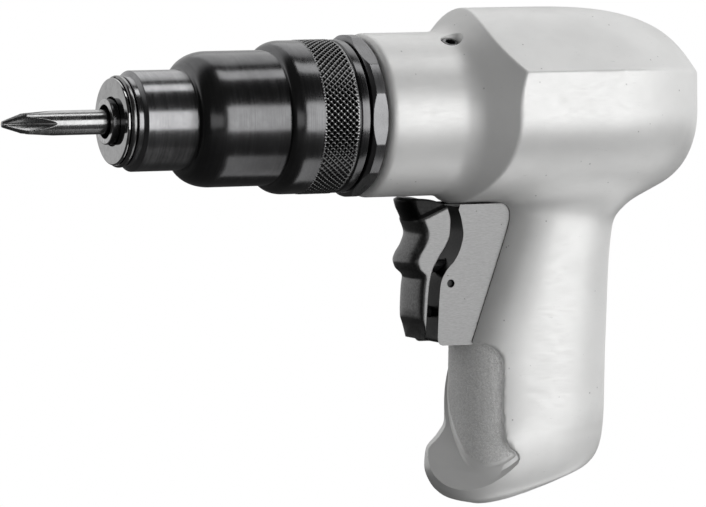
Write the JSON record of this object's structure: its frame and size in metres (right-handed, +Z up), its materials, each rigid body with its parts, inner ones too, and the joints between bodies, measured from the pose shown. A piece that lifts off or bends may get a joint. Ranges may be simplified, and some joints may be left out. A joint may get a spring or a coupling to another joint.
{
  "type": "pneumatic screwdriver",
  "caption": "Pistol-grip air screwdriver: cast handle with vane motor, two-finger trigger and an adjustable clutch nose holding a hexagonal cross-point bit.",
  "frame": {"origin": "middle of the grip, where the hand closes round it, 66 mm below the spindle axis", "axes": "+Z up along the grip towards the motor, -X along the spindle towards the bit, Y across the tool"},
  "size_m": [0.2026, 0.063, 0.1358],
  "materials": {
    "cast_aluminium": "sand-cast aluminium, belt polished outside to a satin shine, left rough in the finger flute",
    "black_steel": "turned steel, blackened, glossy with fine turning marks",
    "bright_steel": "ground and polished steel",
    "trigger_metal": "blackened die casting with satin ground side faces",
    "tool_steel": "machined and hardened steel",
    "bronze": "sintered or turned bronze",
    "rubber": "nitrile rubber",
    "phenolic": "cloth-filled phenolic resin"
  },
  "bodies": {
    "root": {"handle_housing": "cast_aluminium", "plug_screw": "black_steel", "gear_case": "tool_steel", "ring_gear": "tool_steel", "carrier_bearing": "bright_steel", "spring_seat": "tool_steel", "clutch_spring": "tool_steel", "motor_cylinder": "tool_steel", "front_end_plate": "bronze", "rear_end_plate": "bronze", "front_rotor_bearing": "bright_steel", "rear_rotor_bearing": "bright_steel", "motor_dowel": "tool_steel", "spring_washer": "tool_steel", "trigger_block": "trigger_metal", "block_pin": "black_steel", "valve_bushing": "bronze", "valve_seat": "bronze", "valve_spring": "tool_steel", "valve_spring_cup": "bronze", "inlet_bushing": "black_steel", "inlet_screen": "bronze", "exhaust_muffler": "bronze"},
    "clutch_adjuster": {"clutch_housing": "black_steel", "nose_bushing": "bright_steel", "retaining_ring": "bright_steel", "thrust_washer": "bronze"},
    "lock_nut": {"jam_nut": "black_steel"},
    "rotor": {"rotor": "tool_steel", "sun_pinion": "tool_steel", "rotor_vane_1": "phenolic", "rotor_vane_2": "phenolic", "rotor_vane_3": "phenolic", "rotor_vane_4": "phenolic", "rotor_vane_5": "phenolic"},
    "carrier": {"planet_carrier": "tool_steel", "planet_pin_1": "bright_steel", "planet_pin_2": "bright_steel", "planet_pin_3": "bright_steel"},
    "planet_1": {"planet_gear_1": "tool_steel"},
    "planet_2": {"planet_gear_2": "tool_steel"},
    "planet_3": {"planet_gear_3": "tool_steel"},
    "driving_jaw": {"clutch_jaw": "tool_steel"},
    "spindle": {"bit_holder": "black_steel", "detent_ball": "bright_steel", "detent_ring": "tool_steel"},
    "bit": {"screwdriver_bit": "bright_steel"},
    "trigger": {"trigger": "trigger_metal", "throttle_stem": "bright_steel", "trigger_guide_pin": "bright_steel"},
    "valve": {"valve_disc": "rubber"}
  },
  "joints": [
    {"name": "rotor_spin", "type": "hinge", "parent": "root", "child": "rotor", "pos_m": [-0.001, 0, 0.066], "axis": [1, 0, 0], "continuous": true},
    {"name": "carrier_spin", "type": "hinge", "parent": "root", "child": "carrier", "pos_m": [-0.05, 0, 0.066], "axis": [1, 0, 0], "continuous": true},
    {"name": "planet_1_spin", "type": "hinge", "parent": "carrier", "child": "planet_1", "pos_m": [-0.0405, 0, 0.0756], "axis": [1, 0, 0], "continuous": true},
    {"name": "planet_2_spin", "type": "hinge", "parent": "carrier", "child": "planet_2", "pos_m": [-0.0405, -0.00831, 0.0612], "axis": [1, 0, 0], "continuous": true},
    {"name": "planet_3_spin", "type": "hinge", "parent": "carrier", "child": "planet_3", "pos_m": [-0.0405, 0.00831, 0.0612], "axis": [1, 0, 0], "continuous": true},
    {"name": "spindle_spin", "type": "hinge", "parent": "root", "child": "spindle", "pos_m": [-0.11, 0, 0.066], "axis": [1, 0, 0], "continuous": true},
    {"name": "clutch_slip", "type": "slide", "parent": "carrier", "child": "driving_jaw", "axis": [1, 0, 0], "range_m": [0, 0.0028], "stiffness_N_per_m": 2000, "springref_m": -0.008, "deforming": ["clutch_spring"]},
    {"name": "bit_pull", "type": "slide", "parent": "spindle", "child": "bit", "axis": [-1, 0, 0], "range_m": [0, 0.019]},
    {"name": "clutch_adjust", "type": "hinge", "parent": "root", "child": "clutch_adjuster", "pos_m": [-0.09, 0, 0.066], "axis": [1, 0, 0], "range_deg": [-180, 180]},
    {"name": "jam_nut_turn", "type": "hinge", "parent": "root", "child": "lock_nut", "pos_m": [-0.052, 0, 0.066], "axis": [1, 0, 0], "range_deg": [0, 60]},
    {"name": "trigger_pull", "type": "slide", "parent": "root", "child": "trigger", "axis": [1, 0, 0], "range_m": [0, 0.0035], "stiffness_N_per_m": 1500, "springref_m": -0.004},
    {"name": "valve_open", "type": "slide", "parent": "root", "child": "valve", "axis": [1, 0, 0], "range_m": [0, 0.0035], "deforming": ["valve_spring"]}
  ],
  "couplings": [
    {"joint": "carrier_spin", "follows": "rotor_spin", "ratio": 0.25},
    {"joint": "spindle_spin", "follows": "rotor_spin", "ratio": 0.25},
    {"joint": "planet_1_spin", "follows": "rotor_spin", "ratio": -0.75},
    {"joint": "planet_2_spin", "follows": "rotor_spin", "ratio": -0.75},
    {"joint": "planet_3_spin", "follows": "rotor_spin", "ratio": -0.75},
    {"joint": "valve_open", "follows": "trigger_pull", "ratio": 1}
  ]
}
